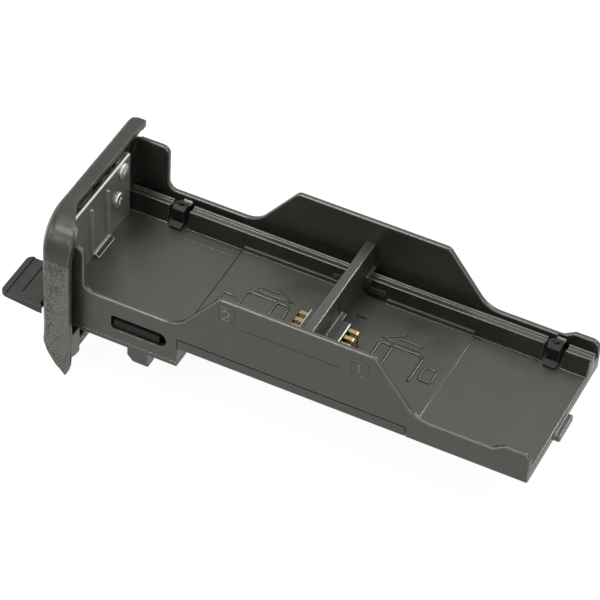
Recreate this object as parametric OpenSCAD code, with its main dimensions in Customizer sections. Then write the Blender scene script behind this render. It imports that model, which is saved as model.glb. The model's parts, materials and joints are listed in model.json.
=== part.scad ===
// Removable tray for two rechargeable camera packs, with its end cap and fold-out lock handle.
// Origin: middle of the flat underside, below the divider. +X points to the open end,
// +Y to the wall with the rail, +Z up. Millimetres.

/* [Tray] */
// Outside width, front wall to back wall
tray_w = 49; // [47:0.5:56]
// Length from the divider to the open end
open_len = 68.3; // [66:0.1:80]
// Length from the divider to the end cap
cap_len = 72; // [70:0.5:84]
// Thickness of the side walls
wall_t = 1.5; // [1.2:0.1:2]
// Height of the battery floor above the underside
floor_z = 3.2; // [3:0.1:5]
// Thickness of the floor
floor_t = 1.6; // [1.2:0.1:1.8]
// Rise of the middle of the floor
floor_step = 0.4; // [0.2:0.1:0.8]
// Half length of the raised middle of the floor
floor_step_half = 35; // [32:0.5:38]

/* [Side walls] */
// Height of the walls beside the divider
plateau_z = 24; // [20:0.5:30]
// Half length of the high part of the walls
plateau_half = 22.8; // [16:0.1:26]
// Angle of the slopes beside the high part
slope_angle = 52; // [46:1:60]
// Radius at the foot of the slopes
slope_r = 7.7; // [3:0.1:8]
// Radius at the top of the slopes
plateau_r = 2.2; // [0.5:0.1:4]
// Height of the low wall at the cap end
low_cap_z = 8.65; // [8:0.05:11]
// Height of the low wall at the open end
low_open_z = 7.75; // [7:0.05:9.5]
// Height of the raised wall ends at the cap
tab_z = 23.4; // [18:0.1:25]
// Length of the front wall's raised end at the cap
tab_front_len = 8.7; // [7:0.1:12]
// Length of the back wall's raised end at the cap
tab_back_len = 9.5; // [7:0.1:12]
// Height of the raised wall ends at the open end
bump_z = 10; // [9.6:0.1:12]
// Length of the raised wall ends at the open end
bump_len = 7.5; // [6:0.1:10]

/* [Rail] */
// Width of the groove between the rail and the back wall
groove_w = 2.3; // [2:0.1:3]
// Height of the rail's top face
rail_z = 8.4; // [7.5:0.1:9.5]
// Width of the rail's top face
rail_t = 3.1; // [2.5:0.1:3.6]
// How far the rail's face leans back
rail_lean = 1.8; // [0.5:0.1:2]
// Height of the floor of the groove behind the rail
groove_z = 4.8; // [4.2:0.1:6]

/* [Divider and contacts] */
// Thickness of the divider
divider_t = 2.8; // [2:0.1:4]
// Height of the divider's top
divider_z = 16.5; // [13:0.1:20]
// Half width of the divider's stepped base
base_half = 3; // [2.6:0.1:4]
// Height of the divider's stepped base
base_z = 8; // [6.5:0.1:9]
// Depth of a contact carrier, along the tray
carrier_d = 3; // [2.6:0.1:4]
// Height of a contact carrier's top
carrier_z = 9; // [8.4:0.1:10]
// Place of the middle contact across the tray
contact_y = -5.8; // [-9:0.1:0]
// Spacing of the contacts
contact_pitch = 2.8; // [2.4:0.1:3.4]
// Width of a contact blade
blade_w = 1.3; // [0.9:0.1:1.5]
// Thickness of a contact blade
blade_t = 0.25; // [0.2:0.01:0.3]
// How far the blades stand out of their carrier
blade_reach = 3.2; // [2.4:0.1:4]
// How far the blades give way
blade_travel = 0.8; // [0.4:0.1:0.9]

/* [Battery catches] */
// Width of a catch, along the tray
catch_w = 3.8; // [3:0.1:5]
// Distance of one catch from the end cap
catch_cap_inset = 16; // [15:0.1:22]
// Distance of the other catch from the open end
catch_open_inset = 10.7; // [10:0.1:14]
// How far a catch stands out of the rail
catch_nose = 1.4; // [0.8:0.1:1.6]
// How far a catch gives way
catch_travel = 1.2; // [0.6:0.1:1.3]

/* [Covers below] */
// Thickness of the bottom cover
cover_t = 1; // [0.8:0.1:1.1]
// Thickness of the bottom cover's side lips
lip_t = 0.8; // [0.5:0.1:0.9]
// Height of the bottom cover's side lips
lip_z = 3.3; // [2.6:0.1:4]
// Where the bottom cover ends, toward the open end
cover_x = 33; // [30:0.5:36]
// Where the lock block ends, seen from the divider
block_x = 34.6; // [33:0.1:36]
// Depth of the lock block below the underside
block_depth = 6.8; // [6.4:0.1:9]
// Thickness of the lock cover
lock_cover_t = 1.6; // [1.2:0.1:1.8]
// Depth of the guide lug below the lock cover
lug_drop = 4.5; // [3:0.1:6]
// Length of the guide lug, along the tray
lug_len = 6.6; // [5:0.1:8]
// Thickness of the guide lug
lug_t = 3.8; // [3:0.1:5]

/* [Lock] */
// Distance of the lock's axis from the front face
lock_inset = 5.5; // [5.4:0.1:6.5]
// Distance of the lock's axis below the floor's underside
lock_drop = 4.2; // [4.1:0.1:4.4]
// Radius of the lock's shaft
shaft_r = 2; // [1.6:0.1:2.2]
// Radius at which the crank's pin runs
crank_r = 2; // [1.6:0.1:2.1]
// Radius of the crank's pin
crank_pin_r = 0.9; // [0.7:0.1:1]
// Radius of the knob's head
knob_r = 5; // [4.8:0.1:5.4]
// Thickness of the knob's head
knob_t = 1.2; // [1:0.1:1.4]
// Where the bolt's slot starts, from the cap's inner face
slot_start = 17; // [16:0.1:18]
// Length of the bolt's slot
slot_len = 17; // [14:0.1:18]
// Height of the bolt's slot
slot_h = 4.85; // [4.5:0.05:5]
// Height of the bolt
bolt_h = 2.5; // [2:0.1:2.6]
// Length of the bolt, across the tray
bolt_len = 6.8; // [6:0.1:8]
// How far the bolt stands out when it locks
bolt_out = 2.1; // [1:0.1:2.6]

/* [End cap] */
// Thickness of the end cap's plate
cap_t = 3.5; // [3.2:0.1:5]
// How far the cap stands past the front wall
cap_front_over = 4.9; // [4.2:0.1:6]
// How far the cap stands past the back wall
cap_back_over = 0.4; // [0.2:0.1:3]
// How far the cap stands above the high part of the walls
cap_top_over = 5.5; // [4.5:0.1:8]
// How far the cap reaches below the underside
cap_drop = 16.5; // [14:0.5:18]
// How far the cap's front wing reaches below the underside
wing_drop = 21.5; // [19:0.1:24]
// Thickness of the cap's rim
rim_t = 2.2; // [1.8:0.1:2.6]
// Thickness of the cap's lower rim
rim_base_t = 3.4; // [2.4:0.1:4]
// Thickness of the cap's front wing
wing_t = 1.4; // [1.2:0.1:2.2]
// How far the rim reaches over the tray at the front
rim_front = 6.7; // [5:0.1:8]
// How far the rim reaches over the tray at the top and back
rim_top = 1.3; // [0.8:0.1:2.5]
// Thickness of the rubber
rubber_t = 0.9; // [0.7:0.1:1.1]
// Height at which the rubber ends
rubber_z = 19.7; // [18:0.1:24]
// Thickness of the plate at the end of the bay
plate_t = 1.8; // [1.4:0.1:2.4]
// Height of the plate at the end of the bay
plate_z = 25.2; // [23:0.1:26]

/* [Handle] */
// Width of the handle
handle_w = 16.8; // [14:0.1:18]
// Length of the handle from its hinge
handle_len = 11.6; // [9:0.1:14]
// Thickness of the handle at its hinge
handle_t = 2.4; // [2:0.1:2.8]
// Thickness of the handle at its tip
handle_tip_t = 1.1; // [0.9:0.1:1.8]
// Radius of the handle's hinge pin
hinge_pin_r = 0.6; // [0.4:0.05:0.7]

/* [Hidden] */
$fn = 48;
// Overlap of solids that are joined, and overrun of cuts
eps = 0.05;
over = 1;
// Clearances: moulded pieces that only lie together, pieces that slide, shafts in bores
fit = 0.1;
slide = 0.3;
shaft_fit = 0.05;
// Steps in which a rounded corner is drawn
arc_steps = 8;

// Faces of the tray
y_front = -tray_w / 2;
y_back = tray_w / 2;
y_inner = y_front + wall_t;
y_back_inner = y_back - wall_t;
floor_under = floor_z - floor_t;
mid_floor = floor_z + floor_step;
x_cap = -cap_len;
x_open = open_len;

// Rail on the back wall
rail_back_y = y_back_inner - groove_w;
rail_top_y = rail_back_y - rail_t;
rail_y = rail_top_y - rail_lean;
tie_side = 0.8;
tie_half = divider_t / 2 + tie_side;
rib_t = 1.2;

// Slopes of the side walls
foot_cap = plateau_half + (plateau_z - low_cap_z) / tan(slope_angle);
foot_open = plateau_half + (plateau_z - low_open_z) / tan(slope_angle);
tab_r = 2.4;
tab_foot_r = 2.6;
bump_run = 3.4;
bump_r = 1.5;
end_r = 2.3;

// Lock block, its cover and its lug
seam_z = -block_depth + lock_cover_t;
lug_x = -49.9;
lug_chamfer = 2;
lug_side = 0.9;

// Lock: axis, crank and bolt
lock_y = y_front + lock_inset;
lock_z = floor_under - lock_drop;
crank_angle = 45;
crank_t = 1.2;
crank_hub_r = 2.1;
crank_wall = 0.8;
square_w = 2.2;
bolt_travel = 2 * crank_r * sin(crank_angle);
pin_y = lock_y + crank_r * sin(crank_angle);
pin_z = lock_z + crank_r * cos(crank_angle);
crank_reach = 8.2;
crank_x = x_cap + crank_reach;
pin_len = 2.2;
yoke_gap = 0.4;
yoke_x = crank_x + crank_t + yoke_gap;
yoke_t = 2;
yoke_play = 0.15;
prong_w = 1.2;
yoke_low = 0.2;
bridge_t = 0.8;
post_len = 2;
post_inset = 2;
bolt_top = floor_under - slide;
bolt_base = bolt_top - bolt_h;
bolt_tip_y = y_front + bolt_travel - bolt_out;
bolt_back_y = bolt_tip_y + bolt_len;
slot_x = x_cap + slot_start;
slot_end_r = slot_h / 2;
slot_rise = 0.1;
slot_top = floor_z + slot_rise;
slot_base = slot_top - slot_h;
bolt_x0 = slot_x + 2 * slide;
bolt_x1 = slot_x + slot_len - slot_end_r;

// Knob: counterbore in the cap, bearing boss, clip groove
x_face = x_cap - cap_t;
seal_gap = 0.8;
seal_r = 0.36;
seal_edge = 0.9;
seal_ring_r = knob_r - seal_edge;
counterbore_x = x_face + knob_t + seal_gap;
boss_r = 3.6;
boss_len = 3.5;
boss_end = x_cap + boss_len;
groove_depth = 0.5;
clip_t = 0.6;
clip_gap = 0.2;
clip_x = boss_end + clip_gap;
clip_r = 3.2;
clip_mouth = 2.4;

// Handle: hinge on two ears of the knob
handle_gap = 0.2;
hinge_x = x_face - handle_gap - handle_t / 2;
ear_t = 1.6;
ear_y = [1, 4.4];
pin_over = 2;
hinge_pin_y = [lock_y + ear_y[0] - ear_t / 2 - pin_over, lock_y + ear_y[1] + ear_t / 2 + pin_over];
ear_gap = 0.3;
handle_r = 2;
handle_rim = 1.7;
handle_sink = 0.4;
handle_slot_w = 0.8;
handle_slot_x = 6;
handle_slot_y = [-4.5, 6.8];
handle_root = 2;
handle_shift = 0.6;
heel_x = [1.8, 0.9];
heel_y = 1.2;

// End cap
cap_front = y_front - cap_front_over;
cap_back = y_back + cap_back_over;
cap_top = plateau_z + cap_top_over;
cap_full = 0.6;
cap_front_r = 9;
cap_corner_r = 0.8;
cap_low_r = 5;
rim_turn = [-1.5, 9.5];
rim_turn_y0 = y_front + rim_turn[0];
rim_turn_y1 = y_front + rim_turn[1];
rim_low = 6;
rim_low_z = -12;
round_z = -3;
round_pull = -10.2;
round_lead = 1;
round_x = 5.4;
tip_cut = 1.8;
tip_side = [0.4, 2];
// Rounding of the cap's outer edge, [from the outer face, margin, margin in front]
cap_edge = [[0, 1, 4.4], [0.8, 0.3, 2.9], [2.3, 0, 0.5]];
// Inner side of the rubber, [from the outer face, from the front face]
rubber_wrap = [[4.1, 0], [1.8, 3.5], [0.8, 2.9], [-0.9, 1.84]];
// Relief under the cap's upper back corner
relief_len = 4.5;
relief_lip = 2.6;
relief_deep = 0.6;
relief_low = 2;
relief_y = cap_back - relief_len;
relief_z = [tab_z - relief_low, cap_top - relief_lip - relief_deep, cap_top - relief_lip];
cap_rib_y = [[-13.1, -7.1], [-1.5, 0.7], [7, 12]];
wing_root_t = 6.4;

// End plate and its screws, [across, height]
plate_gap = 0.2;
plate_side = 1.3;
plate_y0 = y_inner + plate_gap;
plate_y1 = rail_y - plate_side;
plate_rib_w = 0.6;
plate_ribs = [-7.7, 1.5];
plate_rib_foot = 3.4;
plate_rib_head = 3.6;
plate_rib_z = [floor_z + plate_rib_foot, plate_z - plate_rib_head];
foot_y = [-6.4, 2.5];
foot_d = 1.7;
foot_h = 1.2;
foot_flat = 0.5;
foot_edge = 0.4;
screw_back = [4.5, 3];
screw_mid = [7.1, 11.7];
screw_front = [4.1, 3.7];
screw_low = [5.3, 5];
screw_places = [
    [plate_y1 - screw_back[0], plate_z - screw_back[1]],
    [plate_y1 - screw_mid[0], plate_z - screw_mid[1]],
    [plate_y0 + screw_front[0], plate_z - screw_front[1]],
    [plate_y0 + screw_low[0], floor_z + screw_low[1]]];
screw_r = 0.8;
screw_head_r = 2.3;
screw_head_t = 0.7;
screw_bite = 2.6;
screw_len = plate_t + screw_bite;
recess_w = 0.5;
recess_half = 1.3;
recess_deep = 0.45;

// Screws of the covers
cover_screw_r = 0.6;
cover_head_r = 1.5;
cover_head_t = 0.5;
cover_screw_len = 1.3;
cross_w = 0.4;
cross_half = 0.9;
cross_deep = 0.3;
screw_room = 0.2;
cover_screw_in = [6.6, 5];
cover_screw_side = 7;
cover_screw_x = [-block_x + cover_screw_in[0], cover_x - cover_screw_in[1]];
cover_screw_y = y_back - cover_screw_side;
cover_boss_r = 2.2;
lock_screw_in = 6;
lock_screw_y = [12, -9];
lock_screw_places = [
    [x_cap + lock_screw_in, lock_screw_y[0]],
    [-block_x - lock_screw_in, lock_screw_y[0]],
    [-block_x - lock_screw_in, lock_screw_y[1]]];
lock_boss_r = 2.4;
lock_screw_len = 3.2;

// Contacts
pocket_back = 0.4;
pocket_side = 0.25;
carrier_side = 0.9;
carrier_y0 = contact_y - contact_pitch - blade_w / 2 - carrier_side;
carrier_y1 = contact_y + contact_pitch + blade_w / 2 + carrier_side;
base_over = 4;
carrier_x = base_half + carrier_d;
pocket_floor = 0.4;
pocket_roof = 0.6;
pocket_z0 = mid_floor + pocket_floor;
pocket_z1 = carrier_z - pocket_roof;
blade_gap = 0.2;
blade_root = base_half + pocket_back + blade_travel + blade_gap;
blade_top = pocket_z1 - slide;
blade_low = pocket_z0 + slide;
blade_end = carrier_x + blade_reach;
blade_bend = 1;
blade_curl = 1;
lead_r = 0.3;
lead_play = 0.15;
lead_x = base_half + carrier_d / 2 + blade_gap;
board_t = 0.5;
board_x = 16;
board_side = [11.2, 12.8];
board_y = [contact_y - board_side[0], contact_y + board_side[1]];
pad_w = 2.4;
pad_len = 5;
pad_t = 0.75;
pad_pitch = 4;
pad_y = contact_y;
pad_play = 0.2;

// Channel in the top of the rail
channel_edge = 0.6;
channel_slope = 0.3;
channel_deep = 0.6;

// Catches
catch_x1 = x_cap + catch_cap_inset;
catch_x2 = x_open - catch_open_inset;
catch_base = floor_z + slide;
catch_rise = 1;
catch_top = rail_z + catch_rise;
catch_nub = 0.8;
catch_nub_r = 0.8;
pocket_gap = 1.15;
brow_rise = 0.2;
brow_lean = 0.2;
catch_brow = rail_z + brow_rise;
nose_low = 0.7;
nose_high = 1.4;
nose_z = [floor_z + nose_low, floor_z + nose_high];
catch_lip = 0.4;
catch_front = rail_y + catch_lip;
spring_depth = 2.3;
catch_back = y_back_inner - catch_travel - spring_depth;
spring_t = 0.2;
spring_w = 2.6;
spring_base = groove_z + slide;
spring_root = 1.4;
spring_drop = 0.8;
spring_tip = 0.3;
spring_tip_z = [rail_z - spring_drop - spring_tip, rail_z - spring_drop];
spring_tip_y = catch_back + shaft_fit;

// Hook at the open end and floor details
hook_y = [-7, 2.4];
hook_reach = 1.8;
hook_t = 2.2;
strip_y = 12.1;
strip_len = 15;
strip_h = 0.35;
strip_open_x = 37.8;
strip_cap_x = -51.4;

function unit(v) = v / norm(v);
function turned(v, a) = [v.x * cos(a) - v.y * sin(a), v.x * sin(a) + v.y * cos(a)];
function flat(p) = [p[0], p[1]];
function span(middle, half) = [middle - half, middle + half];

// Points that replace one corner of an outline by an arc
function corner_arc(before, here, after) =
    let (p = flat(here),
         u = unit(flat(before) - p),
         v = unit(flat(after) - p),
         half = acos(u * v) / 2,
         centre = p + unit(u + v) * here[2] / sin(half),
         start = p + u * here[2] / tan(half) - centre,
         sweep = (cross(u, v) > 0 ? -1 : 1) * (180 - 2 * half))
    [for (k = [0 : arc_steps]) centre + turned(start, sweep * k / arc_steps)];

// Outline of corners [across, up, radius] with each corner rounded
function rounded(corners) =
    let (n = len(corners))
    [for (i = [0 : n - 1])
        each corners[i][2] == 0
            ? [flat(corners[i])]
            : corner_arc(corners[(i + n - 1) % n], corners[i], corners[(i + 1) % n])];

// Points of a curve that leaves a toward b and arrives at c
function curve(a, b, c) =
    [for (k = [0 : 2 * arc_steps])
        let (t = k / (2 * arc_steps))
        a * pow(1 - t, 2) + b * 2 * t * (1 - t) + c * pow(t, 2)];

// Block between two faces on each axis
module box(x, y, z) {
    translate([x[0], y[0], z[0]])
        cube([x[1] - x[0], y[1] - y[0], z[1] - z[0]]);
}

// Outline in X and Z drawn out along Y
module along_y(y0, y1) {
    translate([0, y1, 0])
        rotate([90, 0, 0])
            linear_extrude(y1 - y0)
                children();
}

// Outline in Y and Z drawn out along X
module along_x(x0, x1) {
    translate([x0, 0, 0])
        rotate([90, 0, 90])
            linear_extrude(x1 - x0)
                children();
}

// Round bar along X
module rod_x(x0, x1, y, z, r) {
    translate([x0, y, z])
        rotate([0, 90, 0])
            cylinder(h = x1 - x0, r = r);
}

// Round bar along Y
module rod_y(y0, y1, x, z, r) {
    translate([x, y1, z])
        rotate([90, 0, 0])
            cylinder(h = y1 - y0, r = r);
}

// Round bar along Z
module rod_z(z0, z1, x, y, r) {
    translate([x, y, z0])
        cylinder(h = z1 - z0, r = r);
}

// Side wall, with its high middle, its slopes and its raised ends
module side_wall(y0, y1, tab_len) {
    along_y(y0, y1)
        polygon(rounded([
            [x_cap, seam_z, 0],
            [-block_x, seam_z, 0],
            [-block_x, 0, 0],
            [x_open, 0, 0],
            [x_open, bump_z, end_r],
            [x_open - bump_len, bump_z, bump_r],
            [x_open - bump_len - bump_run, low_open_z, bump_r],
            [foot_open, low_open_z, slope_r],
            [plateau_half, plateau_z, plateau_r],
            [-plateau_half, plateau_z, plateau_r],
            [-foot_cap, low_cap_z, slope_r],
            [x_cap + tab_len, low_cap_z, tab_foot_r],
            [x_cap + tab_len, tab_z, tab_r],
            [x_cap, tab_z, 0]]));
}

// Rail with a channel in its top, and the groove between it and the back wall
module rail(x0, x1) {
    along_x(x0, x1)
        polygon([
            [rail_y, floor_under],
            [rail_y, floor_z],
            [rail_top_y, rail_z],
            [rail_top_y + channel_edge, rail_z],
            [rail_top_y + channel_edge + channel_slope, rail_z - channel_deep],
            [rail_back_y - channel_edge - channel_slope, rail_z - channel_deep],
            [rail_back_y - channel_edge, rail_z],
            [rail_back_y, rail_z],
            [rail_back_y, groove_z],
            [y_back_inner + eps, groove_z],
            [y_back_inner + eps, floor_under]]);
}

// Room for a catch in the rail
module catch_pocket(x) {
    half = catch_w / 2 + pocket_gap;
    box([x - half, x + half], [rail_y - over, y_back_inner], [floor_z, rail_z + over]);
}

// Low pad at the foot of the rail
module foot_strip(x0) {
    along_x(x0, x0 + strip_len)
        polygon([
            [strip_y, floor_z - eps],
            [strip_y, floor_z],
            [rail_y + eps, floor_z + strip_h],
            [rail_y + eps, floor_z - eps]]);
}

// Bolt's slot in the front face, round at one end
module bolt_slot() {
    left_r = 1;
    along_y(y_front - over, y_inner + eps)
        polygon(rounded([
            [slot_x, slot_base, left_r],
            [slot_x + slot_len, slot_base, slot_end_r - eps],
            [slot_x + slot_len, slot_top, slot_end_r - eps],
            [slot_x, slot_top, left_r]]));
}

// Room for the bottom cover and its lips
module cover_room() {
    x0 = -block_x;
    x1 = cover_x + fit;
    box([x0, x1], [y_front - over, y_back + over], [-over, cover_t]);
    box([x0, x1], [y_front - over, y_front + lip_t + fit], [-over, lip_z + fit]);
    box([x0, x1], [y_back - lip_t - fit, y_back + over], [-over, lip_z + fit]);
}

// Holes for the leads of both contact rows
module lead_holes() {
    for (side = [-1, 1], i = [-1, 0, 1])
        rod_z(floor_under - over, mid_floor + over, side * lead_x,
            contact_y + i * contact_pitch, lead_r + lead_play);
}

module tray_body() {
    color("#3d3e3b")
    difference() {
        union() {
            side_wall(y_front, y_inner, tab_front_len);
            side_wall(y_back_inner, y_back, tab_back_len);
            box([x_cap, x_open], [y_inner - eps, y_back_inner + eps], [floor_under, floor_z]);
            box([-floor_step_half, floor_step_half], [y_inner - eps, rail_y + eps],
                [floor_z - eps, mid_floor]);
            rail(x_cap, x_open);
            foot_strip(strip_open_x);
            foot_strip(strip_cap_x);
            box([x_open - wall_t, x_open], [y_inner - eps, y_back_inner + eps], [0, floor_z]);
            box([cover_x + fit, cover_x + fit + wall_t], [y_inner - eps, y_back_inner + eps],
                [0, floor_z]);
            for (y = [y_front + tray_w / 3, y_back - tray_w / 3])
                box([cover_x + wall_t, x_open - eps], span(y, rib_t / 2), [0, floor_under + eps]);
            box([x_open - eps, x_open + hook_reach], hook_y, [0, hook_t]);
            box([-block_x - wall_t, -block_x], [y_inner - eps, y_back_inner + eps],
                [seam_z, floor_under + eps]);
            for (x = cover_screw_x, y = [-cover_screw_y, cover_screw_y])
                rod_z(cover_t, floor_under + eps, x, y, cover_boss_r);
            for (place = lock_screw_places)
                rod_z(seam_z, floor_under + eps, place[0], place[1], lock_boss_r);
        }
        cover_room();
        bolt_slot();
        catch_pocket(catch_x1);
        catch_pocket(catch_x2);
        box(span(0, tie_half + fit), [rail_y - over, y_back_inner], [mid_floor, rail_z + over]);
        lead_holes();
        for (x = cover_screw_x, y = [-cover_screw_y, cover_screw_y])
            rod_z(cover_t - over, cover_t + cover_screw_len + screw_room, x, y, cover_screw_r + shaft_fit);
        for (place = lock_screw_places)
            rod_z(seam_z - over, seam_z + lock_screw_len + screw_room, place[0], place[1],
                cover_screw_r + shaft_fit);
    }
}

module bottom_cover() {
    x0 = -block_x + fit;
    window = [pad_w / 2 + pad_play, pad_len / 2 + pad_play];
    color("#393a37")
    difference() {
        union() {
            box([x0, cover_x], [y_front, y_back], [0, cover_t]);
            box([x0, cover_x], [y_front, y_front + lip_t], [0, lip_z]);
            box([x0, cover_x], [y_back - lip_t, y_back], [0, lip_z]);
        }
        for (x = cover_screw_x, y = [-cover_screw_y, cover_screw_y]) {
            rod_z(-over, cover_t + over, x, y, cover_screw_r + shaft_fit);
            rod_z(-over, cover_head_t, x, y, cover_head_r + fit);
        }
        for (i = [-2 : 2])
            translate([i * pad_pitch, pad_y, 0])
                box([-window[0], window[0]], [-window[1], window[1]], [-over, cover_t + over]);
    }
}

// Screw with a flat head at the bottom and a cross recess, its shank pointing up
module cover_screw(x, y, z, shank) {
    difference() {
        union() {
            rod_z(z, z + cover_head_t, x, y, cover_head_r);
            rod_z(z + cover_head_t - eps, z + cover_head_t + shank, x, y, cover_screw_r);
        }
        for (a = [0, 90])
            translate([x, y, z])
                rotate([0, 0, a])
                    box(span(0, cross_half), span(0, cross_w / 2), [-over, cross_deep]);
    }
}

module bottom_cover_screws() {
    color("#2b2b2b")
    for (x = cover_screw_x, y = [-cover_screw_y, cover_screw_y])
        cover_screw(x, y, 0, cover_t - cover_head_t + cover_screw_len);
}

// Post on the lock cover that carries the bolt
module bolt_post(x) {
    box([x, x + post_len], [bolt_tip_y + post_inset, bolt_back_y - post_inset],
        [seam_z - eps, bolt_base - fit]);
}

module lock_cover() {
    notch = boss_r + slide;
    color("#3a3b38")
    difference() {
        union() {
            box([x_cap, -block_x], [y_front, y_back], [-block_depth, seam_z]);
            along_y(y_front, y_front + lug_t)
                polygon([
                    [lug_x, -block_depth + eps],
                    [lug_x, -block_depth - lug_drop + lug_chamfer],
                    [lug_x + lug_chamfer * lug_side, -block_depth - lug_drop],
                    [lug_x + lug_len, -block_depth - lug_drop],
                    [lug_x + lug_len, -block_depth + eps]]);
            bolt_post(bolt_x0 + post_inset);
            bolt_post(bolt_x1 - post_inset - post_len);
        }
        box([x_cap - over, clip_x + clip_t + slide], span(lock_y, notch),
            [-block_depth - over, seam_z + over]);
        for (place = lock_screw_places) {
            rod_z(-block_depth - over, seam_z + over, place[0], place[1],
                cover_screw_r + shaft_fit);
            rod_z(-block_depth - over, -block_depth + cover_head_t, place[0], place[1],
                cover_head_r + fit);
        }
    }
}

module lock_cover_screws() {
    color("#2b2b2b")
    for (place = lock_screw_places)
        cover_screw(place[0], place[1], -block_depth, lock_cover_t - cover_head_t + lock_screw_len);
}

module divider() {
    color("#4c4d4a")
    union() {
        box(span(0, divider_t / 2), [y_inner, y_back_inner], [mid_floor, divider_z]);
        box(span(0, base_half), [y_inner, carrier_y1 + base_over], [mid_floor, base_z]);
        box(span(0, tie_half), [rail_top_y, y_back_inner], [mid_floor, rail_z]);
    }
}

// Contact carrier toward +X, with one open pocket for each blade
module contact_carrier() {
    difference() {
        box([base_half, carrier_x], [carrier_y0, carrier_y1], [mid_floor, carrier_z]);
        for (i = [-1, 0, 1])
            translate([0, contact_y + i * contact_pitch, 0]) {
                half = blade_w / 2 + pocket_side;
                box([base_half + pocket_back, carrier_x + over], [-half, half],
                    [pocket_z0, pocket_z1]);
                rod_z(mid_floor - over, pocket_z0 + over, lead_x, 0, lead_r + lead_play);
            }
    }
}

module contact_carrier_1() {
    color("#2e2f2d")
    contact_carrier();
}

module contact_carrier_2() {
    color("#2e2f2d")
    mirror([1, 0, 0])
        contact_carrier();
}

// Spring blade toward +X: a root in the pocket, a run outward, a bend and a curled tip
module contact_blade() {
    nose = blade_end - blade_bend;
    along_y(-blade_w / 2, blade_w / 2) {
        translate([blade_root, blade_low])
            square([blade_t, blade_top - blade_low]);
        translate([blade_root, blade_top - blade_t])
            square([nose - blade_root + eps, blade_t]);
        translate([nose, blade_top - blade_bend])
            intersection() {
                difference() {
                    circle(r = blade_bend);
                    circle(r = blade_bend - blade_t);
                }
                square(blade_bend);
            }
        translate([blade_end - blade_t, blade_low + blade_curl])
            square([blade_t, blade_top - blade_bend - blade_low - blade_curl + eps]);
        translate([blade_end - blade_curl, blade_low + blade_curl])
            intersection() {
                difference() {
                    circle(r = blade_curl);
                    circle(r = blade_curl - blade_t);
                }
                translate([0, -blade_curl])
                    square(blade_curl);
            }
    }
}

module contact_blades() {
    for (i = [-1, 0, 1])
        translate([0, contact_y + i * contact_pitch, 0])
            contact_blade();
}

module contact_blades_1() {
    color("#d8b24a")
    contact_blades();
}

module contact_blades_2() {
    color("#d8b24a")
    mirror([1, 0, 0])
        contact_blades();
}

module contact_board() {
    color("#2f5a3a")
    box([-board_x, board_x], board_y, [cover_t, cover_t + board_t]);
}

module contact_leads() {
    color("#c9a74b")
    for (side = [-1, 1], i = [-1, 0, 1])
        rod_z(cover_t + board_t, pocket_z0, side * lead_x, contact_y + i * contact_pitch, lead_r);
}

module output_contacts() {
    color("#d8b24a")
    for (i = [-2 : 2])
        translate([i * pad_pitch, pad_y, 0])
            box([-pad_w / 2, pad_w / 2], [-pad_len / 2, pad_len / 2], [cover_t - pad_t, cover_t]);
}

// Catch with an upright front, a low nose at its foot and a nub on top
module battery_catch(x) {
    nose_y = rail_y - catch_nose;
    translate([x, 0, 0]) {
        along_x(-catch_w / 2, catch_w / 2)
            polygon([
                [nose_y, catch_base],
                [catch_back, catch_base],
                [catch_back, catch_top],
                [rail_top_y, catch_top],
                [catch_front + brow_lean, catch_brow],
                [catch_front, nose_z[1]],
                [nose_y, nose_z[0]]]);
        rod_z(catch_top - eps, catch_top + catch_nub, 0, (rail_top_y + catch_back) / 2,
            catch_nub_r);
    }
}

module battery_catch_1() {
    color("#1f201f")
    battery_catch(catch_x1);
}

module battery_catch_2() {
    color("#1f201f")
    battery_catch(catch_x2);
}

// Leaf spring: a foot on the back wall and a tongue that leans toward the catch
module catch_spring(x) {
    along_x(x - spring_w / 2, x + spring_w / 2)
        polygon([
            [y_back_inner, spring_base],
            [y_back_inner, rail_z],
            [y_back_inner - spring_t, rail_z],
            [y_back_inner - spring_t, spring_base + spring_root],
            [spring_tip_y, spring_tip_z[1]],
            [spring_tip_y, spring_tip_z[0]],
            [y_back_inner - spring_t, spring_base]]);
}

module catch_spring_1() {
    color("silver")
    catch_spring(catch_x1);
}

module catch_spring_2() {
    color("silver")
    catch_spring(catch_x2);
}

module end_plate() {
    x0 = x_cap;
    x1 = x_cap + plate_t;
    color("#444542")
    difference() {
        union() {
            box([x0, x1], [plate_y0, plate_y1], [floor_z, plate_z]);
            for (y = plate_ribs)
                box([x1 - eps, x1 + plate_rib_w], span(y, plate_rib_w / 2), plate_rib_z);
            along_y(foot_y[0], foot_y[1])
                polygon([
                    [x1 - eps, floor_z],
                    [x1 + foot_d, floor_z],
                    [x1 + foot_d, floor_z + foot_edge],
                    [x1 + foot_flat, floor_z + foot_h],
                    [x1 - eps, floor_z + foot_h]]);
        }
        for (place = screw_places)
            rod_x(x0 - over, x1 + over, place[0], place[1], screw_r + shaft_fit);
    }
}

// Pan-head screw along -X with a cross recess
module plate_screw(y, z) {
    x1 = x_cap + plate_t;
    difference() {
        union() {
            rod_x(x1, x1 + screw_head_t, y, z, screw_head_r);
            rod_x(x1 - screw_len, x1 + eps, y, z, screw_r);
        }
        for (a = [0, 90])
            translate([x1 + screw_head_t, y, z])
                rotate([a, 0, 0])
                    box([-recess_deep, over], span(0, recess_half), span(0, recess_w / 2));
    }
}

module end_plate_screws() {
    color("silver")
    for (place = screw_places)
        plate_screw(place[0], place[1]);
}

// Outline of the cap, seen along the tray, drawn in by margins at the sides, in front and below
function cap_outline(inset, front, below) = rounded([
    [cap_back - inset, -cap_drop + below, cap_low_r],
    [cap_back - inset, cap_top - inset, cap_corner_r],
    [cap_front + front, cap_top - inset, cap_front_r],
    [cap_front + front, -cap_drop + below, cap_low_r]]);

// Slab of the cap between two faces
module cap_slab(x0, x1, inset, front) {
    along_x(x0, x1)
        polygon(cap_outline(inset, front, inset));
}

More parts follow.
